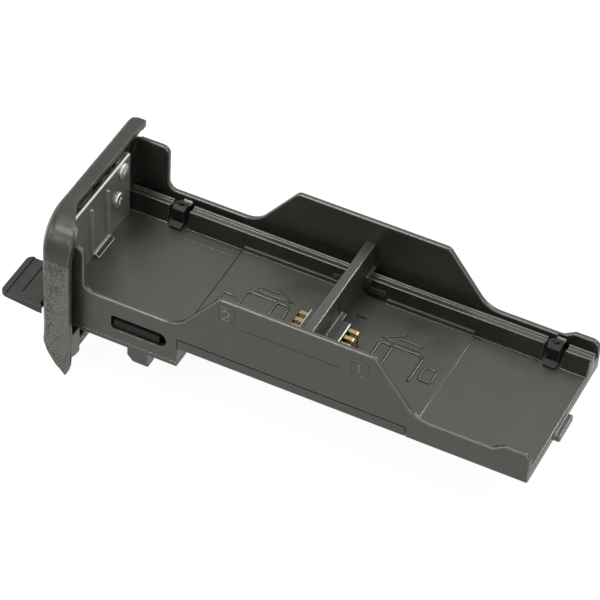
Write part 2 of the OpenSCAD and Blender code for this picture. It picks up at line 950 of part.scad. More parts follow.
// Plate of the cap, with its outer edge rounded over, most of all in front
module cap_plate() {
    hull() {
        cap_slab(x_cap - cap_full, x_cap, 0, 0);
        for (edge = cap_edge)
            cap_slab(x_face + edge[0], x_face + edge[0] + eps, edge[1], edge[2]);
    }
}

// Rim of the cap around the end of the tray, deep in front and below, low at the top and back
module cap_rim() {
    x1 = x_cap + rim_front;
    x_top = x_cap + rim_top;
    x_low = x_cap + rim_low;
    difference() {
        along_x(x_cap - eps, x1)
            difference() {
                polygon(cap_outline(0, 0, 0));
                polygon(cap_outline(rim_t, rim_t, rim_base_t));
            }
        box([x_cap, x1 + over], [y_back_inner - slide, cap_back + over],
            [rim_low_z - over, tab_z + slide]);
        translate([0, 0, rim_low_z])
            linear_extrude(cap_top - rim_low_z + over)
                polygon([
                    [x1 + over, rim_turn_y0],
                    [x1, rim_turn_y0],
                    [x_top, rim_turn_y1],
                    [x_top, cap_back + over],
                    [x1 + over, cap_back + over]]);
        translate([0, 0, -cap_drop - over])
            linear_extrude(rim_low_z + cap_drop + over + eps)
                polygon([
                    [x1 + over, cap_front + rim_t],
                    [x_low, cap_front + rim_t],
                    [x_low, 0],
                    [x_top, rail_y],
                    [x_top, cap_back + over],
                    [x1 + over, cap_back + over]]);
    }
}

// Front wing of the cap, which reaches lower than the rest
module cap_wing() {
    box([x_cap - cap_full, x_cap + rim_front], [cap_front, cap_front + wing_t],
        [-wing_drop, cap_top - cap_front_r]);
}

// Thick root of the wing, below the tray
module wing_root() {
    along_x(x_cap - cap_full, x_cap + rim_front)
        polygon(rounded([
            [cap_front, -cap_drop, cap_low_r],
            [cap_front + wing_root_t, -cap_drop, 0],
            [cap_front + wing_root_t, -block_depth - slide, 0],
            [cap_front, -block_depth - slide, 0]]));
}

// Whole form of the cap, rounded toward its lower edge
module cap_form() {
    intersection() {
        union() {
            cap_plate();
            cap_rim();
            cap_wing();
            wing_root();
        }
        along_y(cap_front - over, cap_back + over)
            polygon(concat(
                [[x_cap + rim_front + over, cap_top + over], [x_face - over, cap_top + over],
                    [x_face - over, round_z]],
                curve([x_face, round_z], [x_face + round_lead, round_pull],
                    [x_cap + round_x, -wing_drop]),
                [[x_cap + rim_front - tip_side[0], -wing_drop + tip_cut],
                    [x_cap + rim_front, -wing_drop + tip_cut + tip_side[1]],
                    [x_cap + rim_front + over, -wing_drop + tip_cut + tip_side[1]]]));
    }
}

// Relief under the cap's upper back corner, where the wall's raised end meets it
module cap_relief() {
    along_x(x_face - over, x_cap + rim_front)
        polygon([
            [cap_back + over, relief_z[0]],
            [cap_back + over, relief_z[2]],
            [relief_y, relief_z[2]],
            [relief_y, relief_z[1]]]);
}

// Space of the rubber on the front of the cap
module rubber_space() {
    x0 = x_face - over;
    x1 = x_cap + rim_front + over;
    low = -wing_drop - over;
    difference() {
        box([x0, x1], [cap_front - over, cap_front + cap_front_r], [low, rubber_z]);
        intersection() {
            along_x(x0 - over, x1 + over)
                polygon(rounded([
                    [cap_back, low - over, 0],
                    [cap_back, cap_top - rubber_t, 0],
                    [cap_front + rubber_t, cap_top - rubber_t, cap_front_r - rubber_t],
                    [cap_front + rubber_t, low - over, 0]]));
            translate([0, 0, low - over])
                linear_extrude(rubber_z - low + 2 * over)
                    polygon(concat(
                        [[x1 + over, cap_back], [x1 + over, cap_front]],
                        [for (w = rubber_wrap) [x_face + w[0], cap_front + w[1]]],
                        [[x0 - over, cap_back]]));
        }
    }
}

// Ribs inside the top of the cap's rim
module cap_ribs() {
    for (y = cap_rib_y)
        box([x_cap - eps, x_cap + rim_top - fit], y,
            [plate_z + slide, cap_top - rim_t + eps]);
}

module end_cap_shell() {
    color("#454643")
    difference() {
        union() {
            difference() {
                cap_form();
                rubber_space();
            }
            cap_ribs();
            rod_x(x_cap - eps, boss_end, lock_y, lock_z, boss_r);
        }
        cap_relief();
        rod_x(x_face - over, boss_end + over, lock_y, lock_z, shaft_r + shaft_fit);
        rod_x(x_face - over, counterbore_x, lock_y, lock_z, knob_r + slide);
        for (place = screw_places)
            rod_x(x_cap + plate_t - screw_len - screw_room, x_cap + over, place[0], place[1],
                screw_r + shaft_fit);
    }
}

module end_cap_rubber() {
    color("#5c5e5b")
    intersection() {
        cap_form();
        rubber_space();
    }
}

// Ear of the knob around the handle's hinge pin
module hinge_ear(y) {
    ear_r = handle_t / 2;
    difference() {
        union() {
            rod_y(y - ear_t / 2, y + ear_t / 2, hinge_x, lock_z, ear_r);
            box([hinge_x, x_face + eps], [y - ear_t / 2, y + ear_t / 2],
                [lock_z - ear_r, lock_z + ear_r]);
        }
        rod_y(y - ear_t, y + ear_t, hinge_x, lock_z, hinge_pin_r);
    }
}

module lock_knob() {
    neck_r = shaft_r - groove_depth;
    shaft_end = crank_x;
    color("#3a3b38")
    union() {
        rod_x(x_face, x_face + knob_t, lock_y, lock_z, knob_r);
        rod_x(x_face + knob_t - eps, clip_x, lock_y, lock_z, shaft_r);
        rod_x(clip_x - eps, clip_x + clip_t + eps, lock_y, lock_z, neck_r);
        rod_x(clip_x + clip_t, shaft_end, lock_y, lock_z, shaft_r);
        box([shaft_end - eps, shaft_end + crank_t], span(lock_y, square_w / 2),
            span(lock_z, square_w / 2));
        for (y = ear_y)
            hinge_ear(lock_y + y);
    }
}

module knob_seal() {
    color("#151515")
    translate([x_face + knob_t + seal_r, lock_y, lock_z])
        rotate([0, 90, 0])
            rotate_extrude()
                translate([seal_ring_r, 0])
                    circle(r = seal_r, $fn = 24);
}

module knob_clip() {
    neck_r = shaft_r - groove_depth;
    color("silver")
    difference() {
        rod_x(clip_x, clip_x + clip_t, lock_y, lock_z, clip_r);
        rod_x(clip_x - over, clip_x + clip_t + over, lock_y, lock_z, neck_r);
        box([clip_x - over, clip_x + clip_t + over], span(lock_y, clip_mouth / 2),
            [lock_z - clip_r - over, lock_z]);
    }
}

module lock_crank() {
    x1 = crank_x + crank_t;
    arm_r = crank_pin_r + crank_wall;
    color("#b9b9b4")
    union() {
        difference() {
            union() {
                rod_x(crank_x, x1, lock_y, lock_z, crank_hub_r);
                rod_x(crank_x, x1, pin_y, pin_z, arm_r);
            }
            box([crank_x - over, x1 + over], span(lock_y, square_w / 2),
                span(lock_z, square_w / 2));
        }
        rod_x(x1 - eps, x1 + pin_len, pin_y, pin_z, crank_pin_r);
    }
}

module lock_bolt() {
    slot_half = crank_pin_r + yoke_play;
    prong_half = slot_half + prong_w;
    bridge_base = bolt_top - bridge_t;
    color("#8f918c")
    union() {
        difference() {
            box([yoke_x, yoke_x + yoke_t], span(pin_y, prong_half),
                [lock_z - yoke_low, bolt_top]);
            box([yoke_x - over, yoke_x + yoke_t + over], span(pin_y, slot_half),
                [lock_z - over, bridge_base]);
        }
        box([yoke_x + yoke_t - eps, bolt_x0 + eps], span(pin_y, prong_half),
            [bridge_base, bolt_top]);
        box([bolt_x0, bolt_x1], [bolt_tip_y, bolt_back_y], [bolt_base, bolt_top]);
    }
}

// Room in the handle for one ear of the knob
module ear_room(y) {
    half = ear_t / 2 + ear_gap;
    reach = handle_t / 2 + ear_gap;
    box([hinge_x - reach, hinge_x + handle_t], [y - half, y + half],
        [lock_z - handle_t, lock_z + handle_t]);
}

module handle() {
    y0 = lock_y - handle_w / 2 + handle_shift;
    y1 = lock_y + handle_w / 2 + handle_shift;
    tip = hinge_x - handle_len;
    half = handle_t / 2;
    sunk = [tip + handle_rim, hinge_x - handle_root];
    color("#474846")
    difference() {
        union() {
            rod_y(y0, y1, hinge_x, lock_z, half);
            translate([0, 0, lock_z - half])
                linear_extrude(handle_t)
                    polygon([
                        [hinge_x, y0],
                        [hinge_x + heel_x[0], y0],
                        [hinge_x + heel_x[1], y0 + heel_y],
                        [hinge_x, y0 + heel_y]]);
            intersection() {
                translate([0, 0, lock_z - half])
                    linear_extrude(handle_t)
                        polygon(rounded([
                            [hinge_x, y0, 0],
                            [hinge_x, y1, 0],
                            [tip, y1, handle_r],
                            [tip, y0, handle_r]]));
                along_y(y0 - over, y1 + over)
                    polygon([
                        [hinge_x + over, lock_z - half],
                        [hinge_x, lock_z - half],
                        [tip, lock_z + half - handle_tip_t],
                        [tip - over, lock_z + half - handle_tip_t],
                        [tip - over, lock_z + half],
                        [hinge_x + over, lock_z + half]]);
            }
        }
        box(sunk, [y0 + handle_sink, y1 + over], [lock_z + half - handle_sink, lock_z + half + over]);
        translate([tip + handle_slot_x, lock_y, lock_z + half - 2 * handle_sink])
            box([-handle_slot_w, 0], handle_slot_y, [0, handle_t]);
        for (y = ear_y)
            ear_room(lock_y + y);
        rod_y(hinge_pin_y[0] - shaft_fit, y1 + over, hinge_x, lock_z, hinge_pin_r + shaft_fit);
    }
}

module handle_pin() {
    color("silver")
    rod_y(hinge_pin_y[0], hinge_pin_y[1], hinge_x, lock_z, hinge_pin_r);
}

tray_body();
bottom_cover();
bottom_cover_screws();
lock_cover();
lock_cover_screws();
divider();
contact_carrier_1();
contact_carrier_2();
contact_blades_1();
contact_blades_2();
contact_board();
contact_leads();
output_contacts();
battery_catch_1();
battery_catch_2();
catch_spring_1();
catch_spring_2();
end_plate();
end_plate_screws();
end_cap_shell();
end_cap_rubber();
lock_knob();
knob_seal();
knob_clip();
lock_crank();
lock_bolt();
handle();
handle_pin();
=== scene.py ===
import json
import math

import bmesh
import bpy
import numpy as np
from mathutils import Matrix, Vector, kdtree


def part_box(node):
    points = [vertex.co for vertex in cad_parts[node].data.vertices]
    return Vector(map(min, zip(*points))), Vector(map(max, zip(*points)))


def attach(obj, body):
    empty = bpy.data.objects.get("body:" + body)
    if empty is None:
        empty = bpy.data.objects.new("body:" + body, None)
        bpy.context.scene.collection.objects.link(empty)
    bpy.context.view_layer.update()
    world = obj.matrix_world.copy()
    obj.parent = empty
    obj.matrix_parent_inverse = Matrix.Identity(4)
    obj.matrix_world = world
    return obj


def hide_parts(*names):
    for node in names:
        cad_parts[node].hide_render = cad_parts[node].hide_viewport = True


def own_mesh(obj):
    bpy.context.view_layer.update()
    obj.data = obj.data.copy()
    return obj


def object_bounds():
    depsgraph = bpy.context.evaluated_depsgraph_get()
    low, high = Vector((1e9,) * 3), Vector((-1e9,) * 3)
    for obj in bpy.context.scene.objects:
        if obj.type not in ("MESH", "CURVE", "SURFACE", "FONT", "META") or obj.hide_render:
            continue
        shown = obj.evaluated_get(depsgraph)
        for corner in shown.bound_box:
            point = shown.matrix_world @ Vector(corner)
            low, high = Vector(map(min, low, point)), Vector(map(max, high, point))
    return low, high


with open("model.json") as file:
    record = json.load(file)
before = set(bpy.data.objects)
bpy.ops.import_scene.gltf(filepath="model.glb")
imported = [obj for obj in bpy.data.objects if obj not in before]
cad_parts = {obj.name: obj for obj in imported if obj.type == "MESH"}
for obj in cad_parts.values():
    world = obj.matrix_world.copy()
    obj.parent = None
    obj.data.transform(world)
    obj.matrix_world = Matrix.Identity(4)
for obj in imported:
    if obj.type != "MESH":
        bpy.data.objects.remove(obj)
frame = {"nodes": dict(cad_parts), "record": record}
cad_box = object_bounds()
NODES = frame["nodes"]
BODY = {n: b for b, ns in frame["record"]["behaviour"]["bodies"].items() for n in ns}
SLOT = {s["node"]: s["material_slot"] for s in frame["record"]["subparts"]}
MM = 0.001

# Places taken from the solids, in mm
FRONT_Y = -24.5        # front face of the tray
FLOOR_Z = 3.6          # floor in the middle of the bays
OUTER_X = -75.5        # flat outer face of the cap
WING_X = -65.3         # root of the cap's wing
WING_Z = -6            # height below which the wing is filled out

scene = bpy.context.scene


# Materials

def noise(nt, coord, scale, detail=2.0, rough=0.5):
    n = nt.nodes.new("ShaderNodeTexNoise")
    n.inputs["Scale"].default_value = scale
    n.inputs["Detail"].default_value = detail
    n.inputs["Roughness"].default_value = rough
    nt.links.new(coord, n.inputs["Vector"])
    return n.outputs["Fac"]


def math_node(nt, operation, a, b):
    n = nt.nodes.new("ShaderNodeMath")
    n.operation = operation
    for socket, value in zip(n.inputs, (a, b)):
        if isinstance(value, (int, float)):
            socket.default_value = value
        else:
            nt.links.new(value, socket)
    return n.outputs[0]


def ramp(nt, source, low, high, a, b):
    """Maps source from low..high to the grey or colour a..b."""
    r = nt.nodes.new("ShaderNodeValToRGB")
    r.color_ramp.elements[0].position, r.color_ramp.elements[1].position = low, high
    for e, c in zip(r.color_ramp.elements, (a, b)):
        e.color = (c, c, c, 1) if isinstance(c, (int, float)) else (*c, 1)
    nt.links.new(source, r.inputs["Fac"])
    return r.outputs["Color"]


def moulded(name, colour, roughness, grain=0.3, bump=0.25, depth=0.06, spread=0.1, blotch=7.0,
            metallic=0.0, specular=0.5, stretch=None, painted_pebble_shade=None):
    """Moulded plastic, rubber or metal: fine grain in the bump, uneven tone, roughness that varies.
    painted_pebble_shade names a mesh attribute, 0 between the pebbles and 1 on them, that paints shade into
    the gaps and a highlight on the pebble tops."""
    m = bpy.data.materials.new(name)
    m.use_nodes = True
    nt = m.node_tree
    bsdf = nt.nodes["Principled BSDF"]
    coord = nt.nodes.new("ShaderNodeTexCoord").outputs["Object"]
    if stretch:
        mapping = nt.nodes.new("ShaderNodeMapping")
        mapping.inputs["Scale"].default_value = stretch
        nt.links.new(coord, mapping.inputs["Vector"])
        coord = mapping.outputs["Vector"]
    fine = noise(nt, coord, 1 / (grain * MM), 3.0, 0.6)
    broad = noise(nt, coord, 1 / (blotch * MM))
    tone = math_node(nt, "ADD", math_node(nt, "MULTIPLY", fine, 0.55), math_node(nt, "MULTIPLY", broad, 0.45))
    dark = [c * (1 - spread) for c in colour]
    light = [c * (1 + spread) for c in colour]
    # Painted shade in the gaps between the pebbles and painted highlight on their tops.
    if painted_pebble_shade:
        a = nt.nodes.new("ShaderNodeAttribute")
        a.attribute_name = painted_pebble_shade
        tone = math_node(nt, "ADD", math_node(nt, "MULTIPLY", tone, 0.4),
                         math_node(nt, "MULTIPLY", a.outputs["Fac"], 0.6))
        nt.links.new(ramp(nt, tone, 0.2, 0.85, dark, light), bsdf.inputs["Base Color"])
    else:
        nt.links.new(ramp(nt, tone, 0.35, 0.65, dark, light), bsdf.inputs["Base Color"])
    nt.links.new(ramp(nt, broad, 0.3, 0.7, roughness - 0.05, roughness + 0.05), bsdf.inputs["Roughness"])
    b = nt.nodes.new("ShaderNodeBump")
    b.inputs["Strength"].default_value = bump
    b.inputs["Distance"].default_value = depth * MM
    nt.links.new(fine, b.inputs["Height"])
    nt.links.new(b.outputs["Normal"], bsdf.inputs["Normal"])
    bsdf.inputs["Metallic"].default_value = metallic
    bsdf.inputs["Specular IOR Level"].default_value = specular
    if not metallic:
        bsdf.inputs["Specular Tint"].default_value = (0.99, 1.0, 0.93, 1)
    return m


def finishes(name, colour, edge, roughness, edge_roughness, specular=0.62, **kind):
    """A material and a lighter, smoother copy for its rounded edges: partly edge wear, mostly painted
    highlight.
    """
    MAT[name] = moulded(name, colour, roughness, specular=specular, **kind)
    MAT[name + "_edge"] = moulded(name + "_edge", edge, edge_roughness, specular=specular, bump=0.08)


MAT = {}
# Each finish's second colour is for its rounded edges: partly edge wear, mostly painted highlight.
finishes("tray_plastic", (0.022, 0.023, 0.0185), (0.085, 0.086, 0.076), 0.36, 0.2)
finishes("divider_plastic", (0.03, 0.031, 0.026), (0.1, 0.101, 0.09), 0.36, 0.2)
# The end plate's plastic is a lit copy of the divider's plastic: its lighter base colour is painted light and
# its near-white edge colour a painted highlight.
finishes("plate_plastic", (0.105, 0.107, 0.095), (0.8, 0.8, 0.77), 0.36, 0.25)
finishes("dark_plastic", (0.007, 0.007, 0.0065), (0.02, 0.02, 0.0185), 0.42, 0.3, specular=0.22)
# The contact holders' near-white edge colour is a painted highlight.
finishes("carrier_plastic", (0.01, 0.01, 0.009), (0.75, 0.75, 0.72), 0.32, 0.2)
finishes("cap_plastic", (0.015, 0.016, 0.0125), (0.04, 0.042, 0.036), 0.33, 0.3, specular=0.5, grain=0.4)
finishes("handle_plastic", (0.0125, 0.013, 0.011), (0.07, 0.072, 0.064), 0.42, 0.3, specular=0.38)
finishes("bolt_plastic", (0.008, 0.008, 0.0075), (0.008, 0.008, 0.0075), 0.6, 0.6, specular=0.2)
finishes("cover_plastic", (0.018, 0.0188, 0.0152), (0.03, 0.031, 0.026), 0.36, 0.25)
# Darker copies that paint shade on the end plate's sloping foot and on the rail's front face and foot pads.
MAT["plate_plastic_deep"] = moulded("plate_plastic_deep", (0.02, 0.0205, 0.018), 0.5, specular=0.12)
MAT["tray_plastic_deep"] = moulded("tray_plastic_deep", (0.012, 0.0125, 0.01), 0.34, specular=0.4)
MAT["mark"] = moulded("mark", (0.025, 0.026, 0.021), 0.24, bump=0.08, specular=0.6)
# The digits' lighter colour is a painted highlight on the raised digits.
MAT["digit_painted_highlight"] = moulded("digit_painted_highlight", (0.1, 0.1, 0.09), 0.24, bump=0.08)
# Rubber with painted shade between its pebbles and a painted highlight on them.
MAT["rubber"] = moulded("rubber", (0.1, 0.105, 0.091), 0.45, grain=0.25, bump=0.2, spread=0.4,
                        painted_pebble_shade="pebble")
MAT["seal_rubber"] = moulded("seal_rubber", (0.015, 0.015, 0.015), 0.6)
MAT["gold"] = moulded("gold", (0.34, 0.26, 0.1), 0.26, grain=0.2, bump=0.1, metallic=1.0, stretch=(1, 1, 0.3))
MAT["board"] = moulded("board", (0.02, 0.075, 0.035), 0.4)
MAT["bright_steel"] = moulded("bright_steel", (0.85, 0.84, 0.81), 0.33, grain=0.25, bump=0.12, metallic=1.0)
MAT["spring_steel"] = moulded("spring_steel", (0.1, 0.097, 0.093), 0.3, grain=0.25, bump=0.12, metallic=1.0)
MAT["dark_steel"] = moulded("dark_steel", (0.05, 0.05, 0.05), 0.35, metallic=1.0)


# Meshes

def everywhere(e):
    return True


def solid_mesh(node):
    """The solid's mesh with its flat faces joined up."""
    bm = bmesh.new()
    bm.from_mesh(NODES[node].data)
    for f in bm.faces:
        f.material_index = 0
    bmesh.ops.remove_doubles(bm, verts=bm.verts, dist=2e-6)
    bmesh.ops.dissolve_limit(bm, angle_limit=math.radians(0.4), verts=bm.verts, edges=bm.edges)
    return bm


def bevelled(bm, width, test=everywhere, segments=2, sharp=28):
    """Rounds the sharp edges that pass the test by width mm; the roundings take the edge colour, partly edge
    wear, mostly painted highlight.
    """
    edges = [e for e in bm.edges if len(e.link_faces) == 2 and e.calc_face_angle(0) > math.radians(sharp)
             and all(f.material_index == 0 for f in e.link_faces) and test(e)]
    if edges:
        bmesh.ops.bevel(bm, geom=edges, offset=width * MM, offset_type="OFFSET", segments=segments,
                        profile=0.5, affect="EDGES", clamp_overlap=False, material=1, loop_slide=False)


def temporary(bm):
    mesh = bpy.data.meshes.new("temporary")
    bm.to_mesh(mesh)
    bm.free()
    for _ in range(3):
        mesh.materials.append(None)
    obj = bpy.data.objects.new("temporary", mesh)
    scene.collection.objects.link(obj)
    return obj


def carved(bm, cutter):
    """bm with the space of the mesh cutter taken out; the cut's faces have material index 2."""
    for f in cutter.faces:
        f.material_index = 2
    a, b = temporary(bm), temporary(cutter)
    cut = a.modifiers.new("cut", "BOOLEAN")
    cut.operation, cut.solver, cut.object = "DIFFERENCE", "EXACT", b
    result = a.evaluated_get(bpy.context.evaluated_depsgraph_get())
    out = bmesh.new()
    out.from_mesh(result.to_mesh())
    result.to_mesh_clear()
    bmesh.ops.remove_doubles(out, verts=out.verts, dist=1e-6)
    bmesh.ops.dissolve_limit(out, angle_limit=math.radians(0.4), verts=out.verts, edges=out.edges,
                             delimit={"MATERIAL"})
    for o in (a, b):
        mesh = o.data
        bpy.data.objects.remove(o)
        bpy.data.meshes.remove(mesh)
    return out


def prism(bm, points, low, high, place):
    """Closed prism over the outline points, from height low to high, put in place by place(u, v, h)."""
    rings = [[bm.verts.new([c * MM for c in place(u, v, h)]) for u, v in points] for h in (low, high)]
    n = len(points)
    faces = [bm.faces.new(rings[0][::-1]), bm.faces.new(rings[1])]
    faces += [bm.faces.new((rings[0][i], rings[0][(i + 1) % n], rings[1][(i + 1) % n], rings[1][i]))
              for i in range(n)]
    bmesh.ops.recalc_face_normals(bm, faces=faces)


def bead(bm, path, width, height, place, closed=False, sunk=0.12):
    """Raised bead with a rounded top along a path on a surface."""
    n = len(path)
    p = [Vector(q) for q in path]
    profile = [(-0.5, None), (-0.5, 0), (-0.46, 0.38), (-0.34, 0.75), (-0.17, 0.95), (0, 1),
               (0.17, 0.95), (0.34, 0.75), (0.46, 0.38), (0.5, 0), (0.5, None)]
    rings = []
    for i in range(n):
        before = (p[i] - p[i - 1]).normalized() if closed or i else None
        after = (p[(i + 1) % n] - p[i]).normalized() if closed or i < n - 1 else None
        before, after = before or after, after or before
        side = Vector((-before.y - after.y, before.x + after.x)).normalized()
        side *= min(2.0, 1 / max(0.3, side.dot(Vector((-before.y, before.x)))))
        ring = [(p[i].x + side.x * s * width, p[i].y + side.y * s * width, -sunk if h is None else h * height)
                for s, h in profile]
        rings.append([bm.verts.new([c * MM for c in place(*q)]) for q in ring])
    faces = []
    for i in range(n if closed else n - 1):
        a, b = rings[i], rings[(i + 1) % n]
        faces += [bm.faces.new((a[k], a[k - 1], b[k - 1], b[k])) for k in range(len(profile))]
    if not closed:
        faces += [bm.faces.new(rings[0]), bm.faces.new(rings[-1][::-1])]
    bmesh.ops.recalc_face_normals(bm, faces=faces)


def rounded(corners, steps=5, closed=True):
    """Outline through corners (u, v, radius) with rounded corners."""
    out, n = [], len(corners)
    for i, (u, v, r) in enumerate(corners):
        here = Vector((u, v))
        if r == 0 or (not closed and i in (0, n - 1)):
            out.append((u, v))
            continue
        a = (Vector(corners[i - 1][:2]) - here).normalized()
        b = (Vector(corners[(i + 1) % n][:2]) - here).normalized()
        half = a.angle(b) / 2
        centre = here + (a + b).normalized() * r / math.sin(half)
        start, end = here + a * r / math.tan(half) - centre, here + b * r / math.tan(half) - centre
        turn = start.angle_signed(end)
        for k in range(steps + 1):
            q = Matrix.Rotation(-turn * k / steps, 2) @ start
            out.append(tuple(centre + q))
    return out


def finished(name, bm, finish, body, smooth=38, replaced=None):
    """Makes bm a shown piece of that finish that rides on body."""
    mesh = bpy.data.meshes.new(name)
    bm.to_mesh(mesh)
    bm.free()
    obj = bpy.data.objects.new(name, mesh)
    scene.collection.objects.link(obj)
    mesh.materials.append(MAT[finish])
    # Slot 1: the edge colour, partly edge wear, mostly painted highlight.
    mesh.materials.append(MAT.get(finish + "_edge", MAT[finish]))
    # Slot 2: the darker copy with painted shade.
    mesh.materials.append(MAT.get(finish + "_deep", MAT[finish]))
    mesh.shade_smooth()
    mesh.set_sharp_from_angle(angle=math.radians(smooth))
    for p in mesh.polygons:
        span = max((mesh.vertices[i].co - mesh.vertices[p.vertices[0]].co).length for i in p.vertices)
        p.use_smooth = p.area < 12 * MM ** 2 or p.area < 1.5 * MM * span
    w = obj.modifiers.new("normals", "WEIGHTED_NORMAL")
    w.keep_sharp = True
    w.weight = 80
    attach(obj, body)
    if replaced:
        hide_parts(replaced)
    return obj


def front(u, v, h):
    """Place on the front face."""
    return u, FRONT_Y - h, v


def floor_at(z):
    return lambda u, v, h: (u, v, z + h)


def rail_face(u, v, h):
    """Place on the leaning face of the rail, v up the slope."""
    return u, 15.8 + 0.327 * v - 0.945 * h, 3.2 + 0.945 * v + 0.327 * h


# The tray's solids with softened edges

def on_walls(e):
    """Edges of the side walls' upper outline."""
    return all(min(abs(abs(v.co.y) - 24.5 * MM), abs(abs(v.co.y) - 23 * MM)) < 1e-5 and v.co.z > 7.4 * MM
               for v in e.verts)


def at_open_end(e):
    return all(v.co.x > 68.2 * MM for v in e.verts)


def floor_step(e):
    return all(abs(v.co.x - 35 * MM) < 1e-5 and v.co.z > 3.5 * MM for v in e.verts)


def tray_grooves():
    """Slots in the floor beside the contacts and at one step, and the parting line on the front face."""
    bm = bmesh.new()
    floor = floor_at(FLOOR_Z)
    prism(bm, [(-35.35, -22.6), (-35.05, -22.6), (-35.05, 15.4), (-35.35, 15.4)], -0.75, 1, floor)
    for side in (1, -1):
        slot = [(side * 3.4, 7.2), (side * 6.8, 7.2), (side * 6.8, 7.7), (side * 3.4, 7.7)]
        prism(bm, slot, -0.5, 1, floor)
    prism(bm, [(-17, 15.95), (12.8, 15.95), (12.8, 16.15), (-17, 16.15)], -0.08, 1, front)
    parting = [(-34.85, -0.4), (-34.85, 3.65), (33.35, 3.65), (33.35, -0.4),
               (33.0, -0.4), (33.0, 3.3), (-34.5, 3.3), (-34.5, -0.4)]
    prism(bm, parting, -0.2, 1, front)
    return bm


def divider_groove():
    bm = bmesh.new()
    prism(bm, [(-0.4, 13.8), (0.1, 13.8), (0.9, 8.3), (0.4, 8.3)], 0.8, 2.5, lambda u, v, h: (h, u, v))
    return bm


def rail_face_painted_shade(f):
    """Front face of the rail and the pads at its foot, which take a darker copy of the plastic as painted
    shade.
    """
    y = f.calc_center_median().y / MM
    return (15.7 < y < 17.6 and f.normal.y < -0.85) or (12 < y < 16 and 0.98 < f.normal.z < 0.999)


def plate_ramp(f):
    """Sloping top of the end plate's foot, which takes a darker copy of the plastic as painted shade."""
    low = f.calc_center_median().z < 12 * MM
    return low and 0.3 < f.normal.x < 0.9 and f.normal.z > 0.3 and f.calc_area() > 4 * MM ** 2


def plate_rim(e):
    """Upper edges of the end plate, which take its near-white painted highlight."""
    return all(v.co.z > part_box("end_plate")[1].z - 0.1 * MM for v in e.verts)


def underneath(e):
    return all(v.co.z < 0.1 * MM for v in e.verts)


def contact_edge(e):
    """Upper front edge of a contact holder."""
    return all(v.co.z > 8.6 * MM and abs(v.co.x) > 5.9 * MM for v in e.verts)


def handle_rim(e):
    """Upper outline of the handle."""
    return all(v.co.z > -1.45 * MM for v in e.verts) and any(
        abs(f.normal.z) < 0.2 and min(v.co.z for v in f.verts) < -3.5 * MM for f in e.link_faces)


def outward(e):
    return e.is_convex


def head_rims(e):
    """Outer rims of the screw heads."""
    return all(v.co.x > -69.6 * MM for v in e.verts) and e.calc_length() < 1.0 * MM


# Bevel widths; the bevels take the edge colour, partly edge wear, mostly painted highlight.
SOFT = {
    "tray_body": [(0.4, on_walls), (0.42, at_open_end), (0.3, floor_step), (0.16, everywhere)],
    "bottom_cover": [(0.25, underneath)], "lock_cover": [(0.25, everywhere)], "divider": [(0.3, everywhere)],
    "contact_carrier_1": [(0.3, contact_edge)], "contact_carrier_2": [(0.3, contact_edge)],
    "battery_catch_1": [(0.12, outward)], "battery_catch_2": [(0.12, outward)],
    "end_plate": [(0.45, plate_rim), (0.08, everywhere)], "end_plate_screws": [(0.22, head_rims)],
    "lock_knob": [(0.1, everywhere)], "lock_bolt": [(0.15, everywhere)],
    "handle": [(0.12, handle_rim), (0.1, outward)],
}
# The end plate takes the lit copy of the divider's plastic, with painted light.
FINISH = {"end_plate": "plate_plastic", "bottom_cover": "cover_plastic",
          "contact_carrier_1": "carrier_plastic", "contact_carrier_2": "carrier_plastic",
          "catch_spring_1": "spring_steel", "catch_spring_2": "spring_steel"}
# Faces that take the darker copy as painted shade.
PAINTED_SHADE = {"tray_body": rail_face_painted_shade, "end_plate": plate_ramp}
for node in NODES:
    if node in ("end_cap_shell", "end_cap_rubber"):
        continue
    bm = solid_mesh(node)
    if node == "tray_body":
        bm = carved(bm, tray_grooves())
    for width, test in SOFT.get(node, []):
        bevelled(bm, width, test)
    if node == "divider":
        bm = carved(bm, divider_groove())
    # Faces that PAINTED_SHADE picks take index 2, the darker copy as painted shade; other faces keep index 0
    # or 1.
    for f in bm.faces:
        f.material_index = 2 if node in PAINTED_SHADE and PAINTED_SHADE[node](f) else f.material_index % 2
    piece = finished(node + "_look", bm, FINISH.get(node, SLOT[node]), BODY[node],
                     replaced=node)
    if node.startswith("catch_spring"):
        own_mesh(piece)


# End cap: the faceted solid refined and smoothed, with pebbles raised on its rubber

def refined(bm, length, rounds):
    """Splits the edges of bm that are longer than length, in so many rounds at most."""
    bmesh.ops.triangulate(bm, faces=bm.faces)
    for _ in range(rounds):
        long_edges = [e for e in bm.edges if e.calc_length() > length]
        if not long_edges:
            break
        bmesh.ops.subdivide_edges(bm, edges=long_edges, cuts=1)
        bmesh.ops.triangulate(bm, faces=[f for f in bm.faces if len(f.verts) > 3])
        flat = [e for e in bm.edges if len(e.link_faces) == 2 and e.calc_face_angle(9) < 0.005]
        bmesh.ops.beautify_fill(bm, faces=bm.faces, edges=flat, method="ANGLE")


def outer_skin(v):
    """The cap's outside, without the seat of the knob."""
    c = v.co / MM
    if math.hypot(c.y + 19, c.z + 2.6) < 6.6 and c.x < -71:
        return False
    return c.x < -72.25 or c.y < -28.3 or c.z > 28.2


def sharp_verts(bm, sharp):
    """Ends of the edges that turn by more than sharp degrees."""
    return {v for e in bm.edges if len(e.link_faces) != 2 or e.calc_face_angle(9) > math.radians(sharp)
            for v in e.verts}


def relaxed(bm, rounds, sharp):
    """Smooths the outer skin, keeping its sharp edges and roundings in place."""
    held = sharp_verts(bm, sharp) | {v for f in bm.faces if f.material_index == 1 for v in f.verts}
    free = [v for v in bm.verts if v not in held and outer_skin(v)]
    for _ in range(rounds):
        bmesh.ops.smooth_vert(bm, verts=free, factor=0.5, use_axis_x=True, use_axis_y=True, use_axis_z=True)


